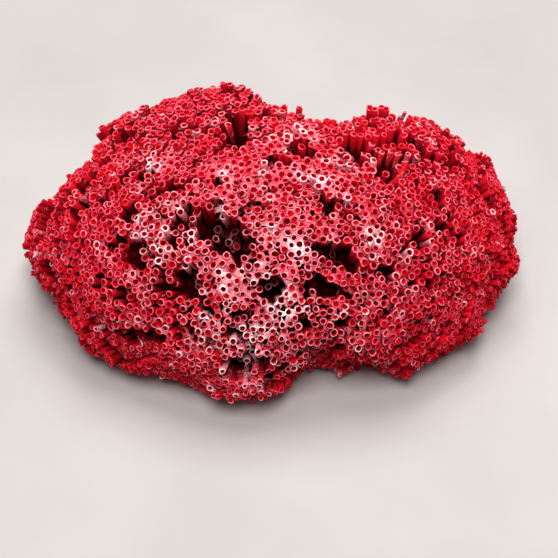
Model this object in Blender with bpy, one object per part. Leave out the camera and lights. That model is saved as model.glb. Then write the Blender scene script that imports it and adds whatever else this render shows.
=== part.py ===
"""Organ pipe coral: a low, wide dome of pipes that fan out from a heart just above the base.

The colony grew as one piece, so it is one solid, cut flat where it was taken off the reef. Its pipes
broke off in bundles at different heights, and each bundle is a column here: neighbouring columns meet in
a groove, a step between them is a ledge, and the gaps where pipes are missing are columns that end deep
inside. The columns' ends reach the tips of the pipes.

Blender 4.5, metres, +Z up. The origin is on the cut base, under the middle of the colony.
"""

import math

import bmesh
import bpy
import numpy as np
from mathutils import Vector
from mathutils.kdtree import KDTree

MM = 0.001

# Distances from the heart to the outside, in millimetres
HEART_HEIGHT = 15.0
SIDE_REACH = 79.0
FRONT_REACH = 54.0
BACK_REACH = 50.0
CROWN_REACH = 44.0
UNDER_REACH = 24.0

# Bundles of pipes
BUNDLE_WIDTH = 7.2
GROOVE_WIDTH = 1.2
GROOVE_DEPTH = 2.4
UNEVEN_ENDS = 1.1
SEED = 7

# What makes the outside depart from a smooth dome: name, azimuth and elevation of its middle and its
# spread, in degrees (azimuth 0 is +X and 90 is +Y, the back), and its height in millimetres
SWELLS = (
    ("left crown", 122, 42, 24, 6.5),
    ("left crown's edge", 150, 34, 11, 1.5),
    ("back of the crown", 92, 44, 10, -4.0),
    ("right shoulder", 22, 22, 15, 4.0),
    ("saddle between the crowns", 60, 45, 18, -8.0),
    ("back hollow", 78, 14, 18, -5.0),
    ("left shoulder hollow", 168, 16, 13, -6.5),
    ("left end", -164, -3, 13, -5.5),
    ("left foot", -142, -6, 9, 1.5),
    ("front foot", -104, -2, 13, 2.5),
    ("left of the front foot", -125, -6, 9, -2.5),
    ("arch under the front", -68, -4, 13, -12.5),
    ("right foot", -42, -6, 12, 1.0),
    ("right end", -4, 0, 18, -4.0),
)

# Where pipes are missing: name, azimuth and elevation in degrees, then length, width and depth in
# millimetres, and the turn of the length away from level, in degrees
GAPS = (
    ("great hollow", -119, 51, 17, 11, 19, -30),
    ("lower hollow", -124, 31, 11, 12, 16, 0),
    ("crown cleft", 143, 71, 13, 8, 17, 60),
    ("long slot", -58, 42, 17, 8, 20, -55),
    ("long slot end", -45, 31, 10, 7, 12, -20),
    ("middle slot", -68, 33, 15, 7, 15, -25),
    ("middle well", -88, 35, 8, 8, 16, 0),
    ("bent pipe well", -7, 47, 10, 9, 14, 60),
    ("right wells", -22, 31, 9, 8, 12, 30),
    ("left wells", -150, 36, 15, 8, 9, -30),
    ("left ledge", -130, 12, 17, 8, 9, 20),
    ("front slot", -97, 10, 15, 8, 11, 0),
    ("crown slot", 5, 76, 9, 8, 12, 70),
    ("saddle steps", 38, 54, 20, 8, 7, -20),
    ("back cleft", 100, 30, 18, 8, 13, 60),
    ("back well", 55, 20, 10, 9, 10, 0),
    ("back left well", 150, 18, 12, 8, 11, -40),
    ("right back slot", 12, 30, 12, 7, 10, 45),
)

BASE_CUTTER_SIZE = 0.4
SKELETON_RED = (0.50, 0.012, 0.022, 1.0)
SKELETON_ROUGHNESS = 0.6


def clear_scene():
    for obj in list(bpy.data.objects):
        bpy.data.objects.remove(obj)


def new_collection(name):
    collection = bpy.data.collections.new(name)
    bpy.context.scene.collection.children.link(collection)
    return collection


def skeleton_material():
    material = bpy.data.materials.new("coral_skeleton")
    material.use_nodes = True
    shader = material.node_tree.nodes["Principled BSDF"]
    shader.inputs["Base Color"].default_value = SKELETON_RED
    shader.inputs["Roughness"].default_value = SKELETON_ROUGHNESS
    shader.inputs["Metallic"].default_value = 0.0
    material.diffuse_color = SKELETON_RED
    return material


def direction(azimuth, elevation):
    """The unit direction from the heart at these angles, in degrees."""
    a, e = math.radians(azimuth), math.radians(elevation)
    return Vector((math.cos(e) * math.cos(a), math.cos(e) * math.sin(a), math.sin(e)))


def reach(way):
    """How far the smooth outside is from the heart along a unit direction, in millimetres."""
    depth = FRONT_REACH if way.y < 0 else BACK_REACH
    height = CROWN_REACH if way.z > 0 else UNDER_REACH
    dome = ((way.x / SIDE_REACH) ** 2 + (way.y / depth) ** 2 + (way.z / height) ** 2) ** -0.5
    for _, azimuth, elevation, spread, swell in SWELLS:
        apart = math.degrees(way.angle(direction(azimuth, elevation)))
        dome += swell * math.exp(-((apart / spread) ** 2))
    return dome


def gap_frame(azimuth, elevation, turn):
    """A gap's middle direction, and the two level directions that its length and width lie along."""
    middle = direction(azimuth, elevation)
    level = Vector((0, 0, 1)).cross(middle).normalized()
    uphill = middle.cross(level)
    t = math.radians(turn)
    return middle, level * math.cos(t) + uphill * math.sin(t), uphill * math.cos(t) - level * math.sin(t)


def missing(way):
    """How much shorter the pipes are along a unit direction, because of the gaps, in millimetres."""
    deepest = 0.0
    for _, azimuth, elevation, length, width, depth, turn in GAPS:
        middle, along, across = gap_frame(azimuth, elevation, turn)
        ahead = way.dot(middle)
        if ahead < 0.5:
            continue
        offset = (way / ahead - middle) * reach(middle)
        apart = math.hypot(offset.dot(along) / (length / 2), offset.dot(across) / (width / 2))
        deepest = max(deepest, depth * min(1.0, max(0.0, 2.2 - 1.4 * apart)))
    return deepest


def gap_bundles():
    """Directions of the bundles that stand in the gaps, one bundle width apart along each gap."""
    ways = []
    for _, azimuth, elevation, length, _width, _depth, turn in GAPS:
        middle, along, _ = gap_frame(azimuth, elevation, turn)
        count = max(1, round(length / BUNDLE_WIDTH))
        for k in range(count):
            offset = (k - (count - 1) / 2) * BUNDLE_WIDTH / reach(middle)
            ways.append((middle + along * offset).normalized())
    return ways


def spiral(count, rng):
    """Directions spread evenly over the sphere by the golden angle, in a shuffled order."""
    k = np.arange(count)
    z = 1 - (2 * k + 1) / count
    turn = k * math.pi * (3 - math.sqrt(5))
    level = np.sqrt(1 - z * z)
    points = np.stack([level * np.cos(turn), level * np.sin(turn), z], axis=1)
    return [Vector(p) for p in rng.permutation(points)]


def bundle_directions(rng):
    """One unit direction for each bundle, about BUNDLE_WIDTH apart where they reach the outside."""
    ways = gap_bundles()
    fixed = len(ways)
    places = [way * reach(way) for way in ways]
    for way in spiral(9000, rng):
        place = way * reach(way)
        if all((place - other).length > 0.88 * BUNDLE_WIDTH for other in places):
            ways.append(way)
            places.append(place)
    for _ in range(6):
        tree = KDTree(len(places))
        for i, place in enumerate(places):
            tree.insert(place, i)
        tree.balance()
        for i in range(fixed, len(ways)):
            push = Vector()
            for other, _j, apart in tree.find_range(places[i], BUNDLE_WIDTH):
                if apart > 0:
                    push += (places[i] - other) / apart * (BUNDLE_WIDTH - apart) * 0.3
            ways[i] = (places[i] + push).normalized()
        places = [way * reach(way) for way in ways]
    return ways


def bundle_ends(ways, rng):
    """How far each bundle's end is from the heart, in millimetres."""
    ends = []
    for way in ways:
        outside = reach(way)
        uneven = rng.uniform(-UNEVEN_ENDS, UNEVEN_ENDS)
        ends.append(max(0.35 * outside, outside - missing(way) + uneven))
    return ends


def faces_around(vertex):
    """The faces that meet at a vertex, in the order in which they follow each other round it."""
    first = loop = vertex.link_loops[0]
    found = []
    while True:
        found.append(loop.face)
        loop = loop.link_loop_prev.link_loop_radial_next
        if loop == first:
            return found


def colony_mesh(ways, ends):
    """The columns as one closed mesh: a cell for each bundle, inset, and its inner face moved out."""
    hull = bmesh.new()
    for way in ways:
        hull.verts.new(way)
    bmesh.ops.convex_hull(hull, input=hull.verts)
    hull.verts.ensure_lookup_table()
    hull.faces.index_update()
    mesh = bmesh.new()
    corners = []
    for face in hull.faces:
        shortest = min(ends[v.index] for v in face.verts)
        middle = sum((v.co for v in face.verts), Vector()).normalized()
        corners.append(mesh.verts.new(middle * (shortest - GROOVE_DEPTH)))
    cells = []
    for vertex in hull.verts:
        cells.append(mesh.faces.new([corners[f.index] for f in faces_around(vertex)]))
    hull.free()
    bmesh.ops.recalc_face_normals(mesh, faces=mesh.faces)
    bmesh.ops.inset_individual(mesh, faces=cells, thickness=GROOVE_WIDTH / 2, use_even_offset=True)
    for cell, way, end in zip(cells, ways, ends):
        for vertex in cell.verts:
            out = vertex.co.normalized()
            vertex.co = out * end / out.dot(way)
    for vertex in mesh.verts:
        vertex.co = (vertex.co + Vector((0, 0, HEART_HEIGHT))) * MM
    data = bpy.data.meshes.new("colony")
    mesh.to_mesh(data)
    mesh.free()
    return data


def base_cutter(collection):
    """A block under the base plane, which cuts the colony flat where it was taken off the reef."""
    bpy.ops.mesh.primitive_cube_add(size=BASE_CUTTER_SIZE, location=(0, 0, -BASE_CUTTER_SIZE / 2))
    cutter = bpy.context.object
    cutter.name = "base_cutter"
    for old in list(cutter.users_collection):
        old.objects.unlink(cutter)
    collection.objects.link(cutter)
    cutter.hide_render = True
    cutter.display_type = "WIRE"
    return cutter


def centre_on_base(colony):
    """Moves the mesh so that its box is centred over the origin."""
    bpy.context.view_layer.update()
    corners = [Vector(c) for c in colony.evaluated_get(bpy.context.evaluated_depsgraph_get()).bound_box]
    low = Vector(map(min, *corners))
    high = Vector(map(max, *corners))
    middle = (low + high) / 2
    for vertex in colony.data.vertices:
        vertex.co -= Vector((middle.x, middle.y, 0))


def build_colony(collection, cutters):
    rng = np.random.default_rng(SEED)
    ways = bundle_directions(rng)
    colony = bpy.data.objects.new("colony", colony_mesh(ways, bundle_ends(ways, rng)))
    collection.objects.link(colony)
    colony.data.materials.append(skeleton_material())
    cut = colony.modifiers.new("flat base", "BOOLEAN")
    cut.operation = "DIFFERENCE"
    cut.object = base_cutter(cutters)
    centre_on_base(colony)
    return colony


def main():
    clear_scene()
    build_colony(new_collection("organ_pipe_coral"), new_collection("cutters"))


main()
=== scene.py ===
"""Organ pipe coral: its pipes one by one, the floors that join them, its finish and the stage.

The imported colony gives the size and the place. The pipes fan out from its heart and end where its columns
end, some are missing or broken off in the gaps, and thin floors join them just below their rims and again
deeper down. The colony is cut flat, so pipes and a floor show on the cut as well.

Blender 4.5, run as a script. Objects are in metres with +Z up, and the form's own values in millimetres.
"""

import functools
import math
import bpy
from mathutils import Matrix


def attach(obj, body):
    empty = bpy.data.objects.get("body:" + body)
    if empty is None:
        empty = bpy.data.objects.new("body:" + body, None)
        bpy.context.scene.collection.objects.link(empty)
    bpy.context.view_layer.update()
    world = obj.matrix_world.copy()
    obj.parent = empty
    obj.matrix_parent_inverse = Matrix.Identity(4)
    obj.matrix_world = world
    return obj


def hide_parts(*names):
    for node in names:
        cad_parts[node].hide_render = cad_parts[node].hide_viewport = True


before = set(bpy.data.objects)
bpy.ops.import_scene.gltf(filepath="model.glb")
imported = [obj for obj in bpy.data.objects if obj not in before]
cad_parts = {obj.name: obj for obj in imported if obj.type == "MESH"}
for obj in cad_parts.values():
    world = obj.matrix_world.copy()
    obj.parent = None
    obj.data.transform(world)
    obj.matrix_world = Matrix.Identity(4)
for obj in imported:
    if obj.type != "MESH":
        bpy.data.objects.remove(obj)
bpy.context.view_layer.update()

from types import SimpleNamespace

import bpy
import numpy as np
from bpy.props import FloatProperty, FloatVectorProperty, IntProperty, PointerProperty
from mathutils import Vector, noise
from mathutils.geometry import delaunay_2d_cdt
from mathutils.kdtree import KDTree

bl_info = {
    "name": "Organ Pipe Coral",
    "version": (1, 0, 0),
    "blender": (4, 5, 0),
    "location": "3D View > Sidebar > Coral",
    "description": "Grows the pipes and floors of an organ pipe coral around its packed colony",
    "category": "Object",
}

MM = 0.001

# The colony's form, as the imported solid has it: where it grew from, and how far its outside is from there
HEART = np.array((0.75, 2.59, 15.0))
SIDE_REACH = 79.0
FRONT_REACH = 54.0
BACK_REACH = 50.0
CROWN_REACH = 44.0
UNDER_REACH = 24.0

# Where the outside departs from a smooth dome: name, azimuth and elevation of its middle and its spread, in
# degrees (azimuth 0 is +X and 90 is +Y, the back), and its height in millimetres
SWELLS = (
    ("left crown", 122, 42, 24, 6.5),
    ("left crown's edge", 150, 34, 11, 1.5),
    ("back of the crown", 92, 44, 10, -4.0),
    ("right shoulder", 22, 22, 15, 4.0),
    ("saddle between the crowns", 60, 45, 18, -8.0),
    ("back hollow", 78, 14, 18, -5.0),
    ("left shoulder hollow", 168, 16, 13, -6.5),
    ("left end", -164, -3, 13, -5.5),
    ("left foot", -142, -6, 9, 1.5),
    ("front foot", -104, -2, 13, 2.5),
    ("left of the front foot", -125, -6, 9, -2.5),
    ("arch under the front", -68, -4, 13, -12.5),
    ("right foot", -42, -6, 12, 1.0),
    ("right end", -4, 0, 18, -4.0),
)

# Where the pipes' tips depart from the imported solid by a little, in the same terms
TOUCHES = (
    ("saddle's back edge", 59, 31, 10, -3.5),
    ("knob over the saddle", 76, 36, 5, 6.0),
    ("right of the crown's tuft", 89, 36, 11, -3.6),
    ("crown's right slope", 92, 56, 6, -2.2),
    ("left of the crown's tuft", 129, 36, 9, -2.8),
    ("left crown's back", 148, 33, 6, -2.4),
    ("left shoulder's notch", 158, 20, 7, 4.0),
    ("left shoulder's foot", 161, 7, 8, -2.4),
    ("right crown", 34, 27, 7, 3.2),
    ("right shoulder's top", 25, 21, 9, -3.0),
    ("right shoulder's corner", 20, 11, 4, 3.2),
    ("right shoulder's flank", 10, 15, 4, -1.0),
    ("right side", 4, 11, 6, 1.4),
    ("right end's knob", -8, 4, 3.5, 3.0),
    ("under the knob", -18, 0, 6, -2.4),
    ("right foot's flank", -33, -3, 3.5, -3.0),
    ("right end of the arch", -48, -8, 4, 4.5),
    ("right of the arch", -54, -12, 5, -5.0),
    ("lip of the arch", -66, -10, 7, 5.4),
    ("under the arch", -68, -20, 7, -7.0),
    ("left end of the arch", -81, -2, 4, -3.0),
    ("front foot's toe", -99, -4, 5.5, 2.6),
    ("left of the toe", -118, -4, 8, -2.4),
    ("left foot's toe", -133, -5, 3.5, 1.4),
    ("left foot's edge", -142, -4, 5, -3.0),
    ("left end, low", -171, -5, 5, -1.4),
    ("left end's tip", 179, 6, 5, -2.0),
    ("left end, high", 171, 11, 5, 1.2),
)

# Where pipes are missing: name, azimuth and elevation in degrees, then length, width and depth in
# millimetres, and the turn of the length away from level, in degrees
GAPS = (
    ("great hollow", -121, 51, 25, 11, 17, -10),
    ("great hollow's flank", -139, 45, 10, 7, 7, -30),
    ("lower hollow", -124, 31, 11, 11, 15, 0),
    ("crown cleft", 134, 71, 14, 7, 16, 40),
    ("long slot", -58, 42, 17, 7, 18, -55),
    ("long slot end", -45, 31, 7, 5, 10, -20),
    ("middle slot", -68, 33, 15, 6, 13, -25),
    ("middle well", -88, 35, 8, 8, 14, 0),
    ("bent pipe well", -7, 47, 9, 7, 13, 60),
    ("right wells", -27, 32, 7, 5, 10, 20),
    ("left wells", -145, 32, 11, 7, 8, -20),
    ("left ledge", -132, 10, 17, 6, 9, 20),
    ("front slot", -97, 10, 15, 9, 11, 0),
    ("crown slot", 5, 78, 8, 5, 9, 70),
    ("foot of the fence", 16, 55, 22, 9, 9, -25),
    ("back cleft", 100, 30, 18, 8, 13, 60),
    ("back well", 55, 20, 10, 9, 10, 0),
    ("back left well", 150, 18, 12, 8, 11, -40),
    ("right back slot", 12, 30, 7, 4, 8, 45),
)

# Where single pipes and small groups broke off short, and under the edges of the shelves, in the same terms
SMALL_GAPS = (
    ("pit beside the fence", 26, 60, 6, 5, 9, 0),
    ("foot of the pale fence", 1, 48, 13, 5, 8, -10),
    ("left opening", -160, 37, 6, 5, 6, 20),
    ("left notch", -152, 30, 4, 4, 5, 0),
    ("left low step", -138, 21, 10, 4, 5, 10),
    ("far left hole", -148, 20, 4, 4, 6, 0),
    ("far left ledge", -154, 15, 9, 3, 5, 0),
    ("far left chip", -171, 32, 5, 4, 4, 0),
    ("crown's left slot", -161, 52, 6, 4, 6, 0),
    ("crown's left notch", -165, 46, 5, 4, 6, 60),
    ("upper left slot", -178, 42, 4, 4, 6, 60),
    ("crown chip", -149, 66, 4, 4, 6, 0),
    ("crown chip two", -134, 59, 4, 4, 6, 0),
    ("crown middle slot", -60, 87, 9, 4, 8, -30),
    ("crown front chip", -48, 58, 6, 4, 6, 60),
    ("right well", -7, 32, 5, 4, 7, 20),
    ("right well two", -17, 29, 4, 4, 8, 80),
    ("right crown slot", 10, 40, 4, 4, 6, 60),
    ("right edge slot", -11, 17, 5, 3, 6, 0),
    ("right front chip", -35, 21, 5, 3, 6, 0),
    ("right front chip two", -38, 16, 5, 3, 6, 0),
    ("right end chip", -27, 13, 4, 3, 6, 30),
    ("right low slot", -49, 9, 8, 3, 8, -10),
    ("right low chip", -41, 12, 4, 3, 6, 0),
    ("right foot recess", -36, 5, 6, 4, 5, 0),
    ("front shelf recess", -118, 18, 7, 5, 8, 0),
    ("front notch", -100, 26, 5, 4, 7, 0),
    ("front notch two", -109, 16, 4, 3, 6, 0),
    ("front notch three", -104, 21, 4, 4, 6, 0),
    ("front chip", -78, 24, 5, 4, 7, 40),
    ("front chip two", -66, 20, 5, 4, 7, 0),
    ("front chip three", -57, 24, 4, 4, 6, 0),
    ("cut side of the front", -88, 4, 8, 7, 9, 60),
    ("left foot recess", -147, 4, 9, 4, 6, 0),
    ("left end chip", -165, 9, 6, 4, 5, 0),
    ("back chip", 80, 50, 6, 4, 6, 30),
    ("back chip two", 120, 40, 7, 4, 7, 0),
    ("back chip three", 30, 10, 7, 4, 6, 0),
    ("back chip four", 125, 10, 6, 5, 7, 0),
    ("back chip five", 85, 5, 8, 5, 7, 0),
    ("right end chip two", 0, 8, 6, 4, 6, 0),
)

# Pipes that stand above the ones around them: name, azimuth, elevation and spread in degrees, and the rise
RISES = (
    ("tuft on the crown", 122, 58, 8.0, 1.8),
)

# Rows of pipes that stand free of the others, places in millimetres: name, tips of the first and the last
# one, how many, the way from a tip to its foot, the pipes' width, how pale they are and how bright a red
ROWS = (
    ("fence", (23.5, 16.4, 52.6), (37.0, 14.6, 53.2), 7, (-0.5, 0.5, -13.0), 2.3, 0.05, 1.4),
    ("fence, behind", (25.0, 19.0, 52.4), (36.0, 17.4, 54.6), 6, (0.0, 0.5, -13.0), 2.0, 0.10, 1.2),
    ("upright cluster", (31.5, 32.5, 47.5), (36.5, 31.0, 48.5), 4, (0.0, 0.5, -13.0), 2.3, 0.10, 1.2),
    ("upright cluster, front", (32.5, 30.0, 45.0), (35.5, 29.5, 46.0), 3, (0.0, 0.5, -12.0), 2.2, 0.10, 1.2),
    ("pale fence", (34.0, 6.6, 55.8), (41.5, 7.0, 53.8), 4, (-1.4, 0.3, -10.0), 2.0, 0.55, 1.3),
    ("crown slot's pipe", (-11.7, 13.2, 60.2), (-11.7, 13.2, 60.2), 1, (1.9, -0.8, -10.0), 2.0, 0.40, 1.0),
)

# The pipe that bends up out of its well: places from its open end down, its width, how pale it is and how
# bright a red
BENT_PIPE = (
    (40.4, 2.9, 53.8),
    (39.9, 0.9, 52.2),
    (38.4, -1.2, 50.6),
    (35.8, -2.8, 49.4),
    (33.0, -3.4, 47.6),
)
BENT_PIPE_WIDTH = 2.1
BENT_PIPE_PALE = 0.3
BENT_PIPE_TONE = 1.3
BENT_PIPE_SIDES = 12

# Where lime has crusted the pipes pale: name, azimuth, elevation and spread in degrees, and how pale
PALE_PATCHES = (
    ("under the crown", -74, 48, 3, 1.0),
    ("front middle", -87, 29, 4, 1.0),
    ("left of the hollow", -149, 36, 3, 1.0),
    ("left of the hollow, lower", -138, 36, 3, 0.9),
    ("front low", -95, 19, 4, 0.8),
    ("front edge", -81, 5, 4, 0.8),
    ("front slot's walls", -98, 10, 5, 1.0),
    ("front slot's lower walls", -101, 6, 3, 0.6),
    ("shelf over the front slot", -108, 17, 4, 0.6),
    ("front foot", -101, 0, 10, 0.1),
    ("front foot's left end", -109, -2, 2, 0.8),
    ("front foot's right end", -93, 2, 2, 0.5),
    ("left end of the arch", -82, 1, 4, 0.8),
    ("right end of the arch", -53, -5, 3, 0.9),
    ("fence by the bent pipe", 6, 53, 3, 0.8),
    ("crown back", 55, 73, 3, 0.6),
    ("hollow's lower edge", -103, 39, 3, 0.4),
    ("hollow's right edge", -100, 55, 3, 0.4),
    ("crown middle", -87, 58, 3, 0.4),
    ("top left", 180, 47, 4, 1.0),
    ("crown front", -157, 70, 3, 0.8),
    ("saddle", 53, 74, 5, 0.9),
    ("saddle front", -6, 62, 4, 0.7),
    ("over the long slot", -36, 67, 4, 0.8),
    ("over the great hollow", -149, 48, 3, 0.7),
    ("over the great hollow, right", -128, 59, 3, 0.7),
    ("far left", -157, 38, 3, 0.9),
    ("crown's speck", -111, 82, 2, 1.0),
    ("top", 88, 56, 5, 0.5),
    ("right of the long slot", -39, 42, 4, 0.7),
    ("great hollow's flank", -131, 48, 6, 0.9),
)

# Soft patches, as azimuth, elevation and spread in degrees: where rims stand higher above their floors,
# where the colony is worn pale, where its red is darker as painted shade on the crown's back-left, turned
# from the light, and where more of its floors are open
PROUD_FRONT = -92, 38, 42
PALE_MIDDLE = -95, 42, 45
CROWN_PAINTED_SHADE = 135, 52, 26
OPEN_FRONT = -88, 26, 27
# The middle of the seen side, how many degrees from it the colony's edge begins, and how soft that is
SEEN_MIDDLE = -92, 42
EDGE_START = 50
EDGE_SOFTNESS = 50
# How steeply a direction rises where the margin ends and the crown begins, as the sine of its elevation
CROWN_RISE = 0.62

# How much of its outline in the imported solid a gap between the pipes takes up, and how steep its sides
# are: full depth inside the outline, and none this share further out
GAP_SHARE = 0.8
GAP_EDGE = 0.3
# In a gap deeper than this, this share of the pipes is gone
GONE_DEPTH = 7.5
GONE_SHARE = 0.35

# Bundles of pipes that broke off at one height, wide ones and narrow ones within them, in millimetres: half
# a bundle's room, its lowest and its highest lift
WIDE_BUNDLES = 5.5, -3.0, 1.7
NARROW_BUNDLES = 2.7, -1.3, 0.7
# How much wider than high a bundle is, and how far its edge strays
BUNDLE_FLATNESS = 1.6
BUNDLE_STRAY = 1.8

# Places that are tried for grown pipes, for young ones and for bundles
GROWN_TRIES = 90000
YOUNG_TRIES = 60000
BUNDLE_TRIES = 9000
# The least height of a pipe's tip above the cut, and a young pipe's greatest length
LOWEST_TIP = 1.0
YOUNG_LENGTH = 9.0
# Where a pipe fans out from, at the colony's margin and on its crown: a share of the tip's own place from
# the heart, with one share for depth in front and one behind, and a place
MARGIN_FAN = (0.22, 0.12, 0.20), (0.0, 0.0, -13.0)
CROWN_FAN = (0.70, 0.12, 0.60), (0.0, 8.0, -24.0)
# How much narrower a pipe is at its deep end, and how far its walls stray from true
PIPE_TAPER = 0.26
PIPE_UNEVENNESS = 0.75

# The old, dense skeleton: how far it is under the outside, under the gaps and clear of their sides, its
# least share of the way to the outside, and its height above the cut
CORE_DEPTH = 8.5
CORE_UNDER_GAPS = 3.0
CORE_BESIDE_GAPS = 4.0
CORE_SHARE = 0.3
CORE_HEIGHT = 2.4
# How far under the outside the painted shade turns the skeleton all dark
DARK_DEPTH = 18.0

# Points of a floor's edge on each pipe's wall, where they are as a share of its radius, and how far a pipe
# has to go on under a floor
RING_POINTS = 6
RING_SHARE = 0.84
LEAST_FOOT = 0.8
# The least heights of a floor's underside and top above the cut
LOWEST_FLOOR = 0.1, 0.2

# The stage, in metres and watts: the floor's width, the lights as name, place, size and power, the room's
# own light as colour and strength, and the camera's sensor in millimetres and image in pixels
STAGE_WIDTH = 4.0
LIGHTS = (
    ("window", (0.05, 0.40, 1.12), 0.7, 12.6),
    ("fill", (-0.02, -0.43, 1.15), 0.5, 12.4),
)
ROOM_LIGHT = (1.0, 0.985, 0.975, 1), 0.14
SENSOR_WIDTH = 36
IMAGE_WIDTH = 558
# The camera looks at a place this far to the right of the heart, on the floor
CAMERA_RIGHT = 2.3

GOLDEN_TURN = math.pi * (3 - math.sqrt(5))

# What the panel's lengths and its colours have in common
LENGTH = {"subtype": "DISTANCE", "unit": "LENGTH"}
COLOUR = {"subtype": "COLOR", "size": 3, "min": 0, "max": 1}


class CoralPipeSettings(bpy.types.PropertyGroup):
    """Sizes of the pipes."""

    width: FloatProperty(
        name="Pipe width", description="Outer width of a grown pipe in the middle of the colony",
        default=2.25 * MM, min=0.5 * MM, **LENGTH)
    young_width: FloatProperty(
        name="Young pipe width", description="Outer width of the young pipes that fill the spaces",
        default=1.45 * MM, min=0.3 * MM, **LENGTH)
    spacing: FloatProperty(
        name="Space between pipes", description="Free space between the walls of two pipes",
        default=0.22 * MM, min=0.0, **LENGTH)
    margin_share: FloatProperty(
        name="Margin pipe share", description="Width of the pipes at the colony's margins, as a share",
        default=0.74, min=0.4, max=1.0, subtype="FACTOR")
    hole_share: FloatProperty(
        name="Hole share", description="Width of a pipe's hole, as a share of its outer width",
        default=0.73, min=0.2, max=0.9, subtype="FACTOR")
    hole_depth: FloatProperty(
        name="Hole depth", description="How deep a pipe is open, down to its own floor",
        default=4.2 * MM, min=0.5 * MM, **LENGTH)
    sides: IntProperty(
        name="Sides", description="Sides of a pipe's round", default=8, min=6, max=16)
    seed: IntProperty(name="Seed", description="Chooses where the pipes stand", default=11)


class CoralFloorSettings(bpy.types.PropertyGroup):
    """Sizes of the floors that join the pipes."""

    thickness: FloatProperty(
        name="Floor thickness", description="Thickness of a floor between the pipes",
        default=0.34 * MM, min=0.1 * MM, **LENGTH)
    storey: FloatProperty(
        name="Storey", description="Height from one floor to the next one down",
        default=5.2 * MM, min=1.0 * MM, **LENGTH)
    step: FloatProperty(
        name="Largest step", description="A floor that would slope by more than this breaks into a step",
        default=0.75 * MM, min=0.1 * MM, **LENGTH)
    ledge: FloatProperty(
        name="Ledge", description="Floors may be open where one pipe is this much higher than the next",
        default=1.5 * MM, min=0.1 * MM, **LENGTH)
    span: FloatProperty(
        name="Longest span", description="Pipes further apart than this aren't joined",
        default=4.2 * MM, min=1.0 * MM, **LENGTH)


class CoralColourSettings(bpy.types.PropertyGroup):
    """Colours of the skeleton."""

    wall: FloatVectorProperty(
        name="Wall", description="Outer walls of the pipes",
        default=(0.58, 0.004, 0.015), **COLOUR)
    # Also, at 0.6 of its brightness, the painted shade on the walls lower down
    dark_wall: FloatVectorProperty(
        name="Dark wall", description="The darker red that the walls vary to",
        default=(0.20, 0.0008, 0.005), **COLOUR)
    fresh_rim: FloatVectorProperty(
        name="Fresh rim", description="Rims at the margins, which are hardly worn",
        default=(0.70, 0.018, 0.036), **COLOUR)
    rim: FloatVectorProperty(
        name="Rim", description="Worn rims and floors",
        default=(0.76, 0.060, 0.110), **COLOUR)
    pale_rim: FloatVectorProperty(
        name="Pale rim", description="Worn rims and floors in the paler middle",
        default=(0.94, 0.35, 0.42), **COLOUR)
    lime: FloatVectorProperty(
        name="Lime", description="Rims and floors that lime has crusted",
        default=(0.97, 0.80, 0.80), **COLOUR)
    hole: FloatVectorProperty(
        name="Hole", description="Inside the pipes",
        default=(0.58, 0.0025, 0.009), **COLOUR)
    # Painted shade: the near-black red that pipes and floors darken to deep under the outside, and that the
    # old skeleton is painted
    deep: FloatVectorProperty(
        name="Deep", description="The old skeleton deep in the clefts",
        default=(0.075, 0.0009, 0.0025), **COLOUR)


class CoralStageSettings(bpy.types.PropertyGroup):
    """The floor under the colony, and the camera."""

    floor: FloatVectorProperty(
        name="Floor", description="Colour of the pale floor",
        default=(0.505, 0.470, 0.456), **COLOUR)
    elevation: FloatProperty(
        name="Camera elevation", description="Angle of the camera above level",
        default=math.radians(50), subtype="ANGLE", unit="ROTATION")
    distance: FloatProperty(
        name="Camera distance", description="From the camera to the point that it looks at",
        default=0.5, min=0.1, **LENGTH)
    pixel: FloatProperty(
        name="Size of a pixel", description="What one pixel of the image covers at that point",
        default=0.323 * MM, min=0.01 * MM, **LENGTH)


# The colony's form


def direction(azimuth, elevation):
    """The unit direction from the heart at these angles, in degrees."""
    a, e = math.radians(azimuth), math.radians(elevation)
    return np.array((math.cos(e) * math.cos(a), math.cos(e) * math.sin(a), math.sin(e)))


def unit(vectors):
    """The vectors at length 1."""
    return vectors / np.linalg.norm(vectors, axis=-1, keepdims=True)


def angle_from(ways, azimuth, elevation):
    """Degrees between each unit direction and the one at these angles."""
    return np.degrees(np.arccos(np.clip(ways @ direction(azimuth, elevation), -1, 1)))


def soft_patch(ways, azimuth, elevation, spread, ragged=1.0):
    """1 in the direction at these angles, fading out over the spread, in degrees.

    Ragged, one number a direction, draws the patch's edge in and out."""
    return np.exp(-((angle_from(ways, azimuth, elevation) * ragged / spread) ** 2))


def reach(ways, swells=SWELLS):
    """How far the smooth outside is from the heart along unit directions, in millimetres."""
    depth = np.where(ways[:, 1] < 0, FRONT_REACH, BACK_REACH)
    height = np.where(ways[:, 2] > 0, CROWN_REACH, UNDER_REACH)
    dome = ((ways[:, 0] / SIDE_REACH) ** 2 + (ways[:, 1] / depth) ** 2 + (ways[:, 2] / height) ** 2) ** -0.5
    for _, azimuth, elevation, spread, swell in swells:
        dome += swell * soft_patch(ways, azimuth, elevation, spread)
    return dome


def outside_normals(ways):
    """The smooth outside's own unit normals, where these directions meet it."""
    step = 0.02
    across = unit(np.cross((0, 0, 1), ways))
    upward = np.cross(ways, across)
    here, beside, above = (a * reach(a)[:, None] for a in (
        ways, unit(ways + step * across), unit(ways + step * upward)))
    return unit(np.cross(beside - here, above - here))


def gap_frame(azimuth, elevation, turn):
    """A gap's middle direction, and the two level directions that its length and width lie along."""
    middle = direction(azimuth, elevation)
    level = unit(np.cross((0, 0, 1), middle))
    uphill = np.cross(middle, level)
    t = math.radians(turn)
    return middle, level * math.cos(t) + uphill * math.sin(t), uphill * math.cos(t) - level * math.sin(t)


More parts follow.
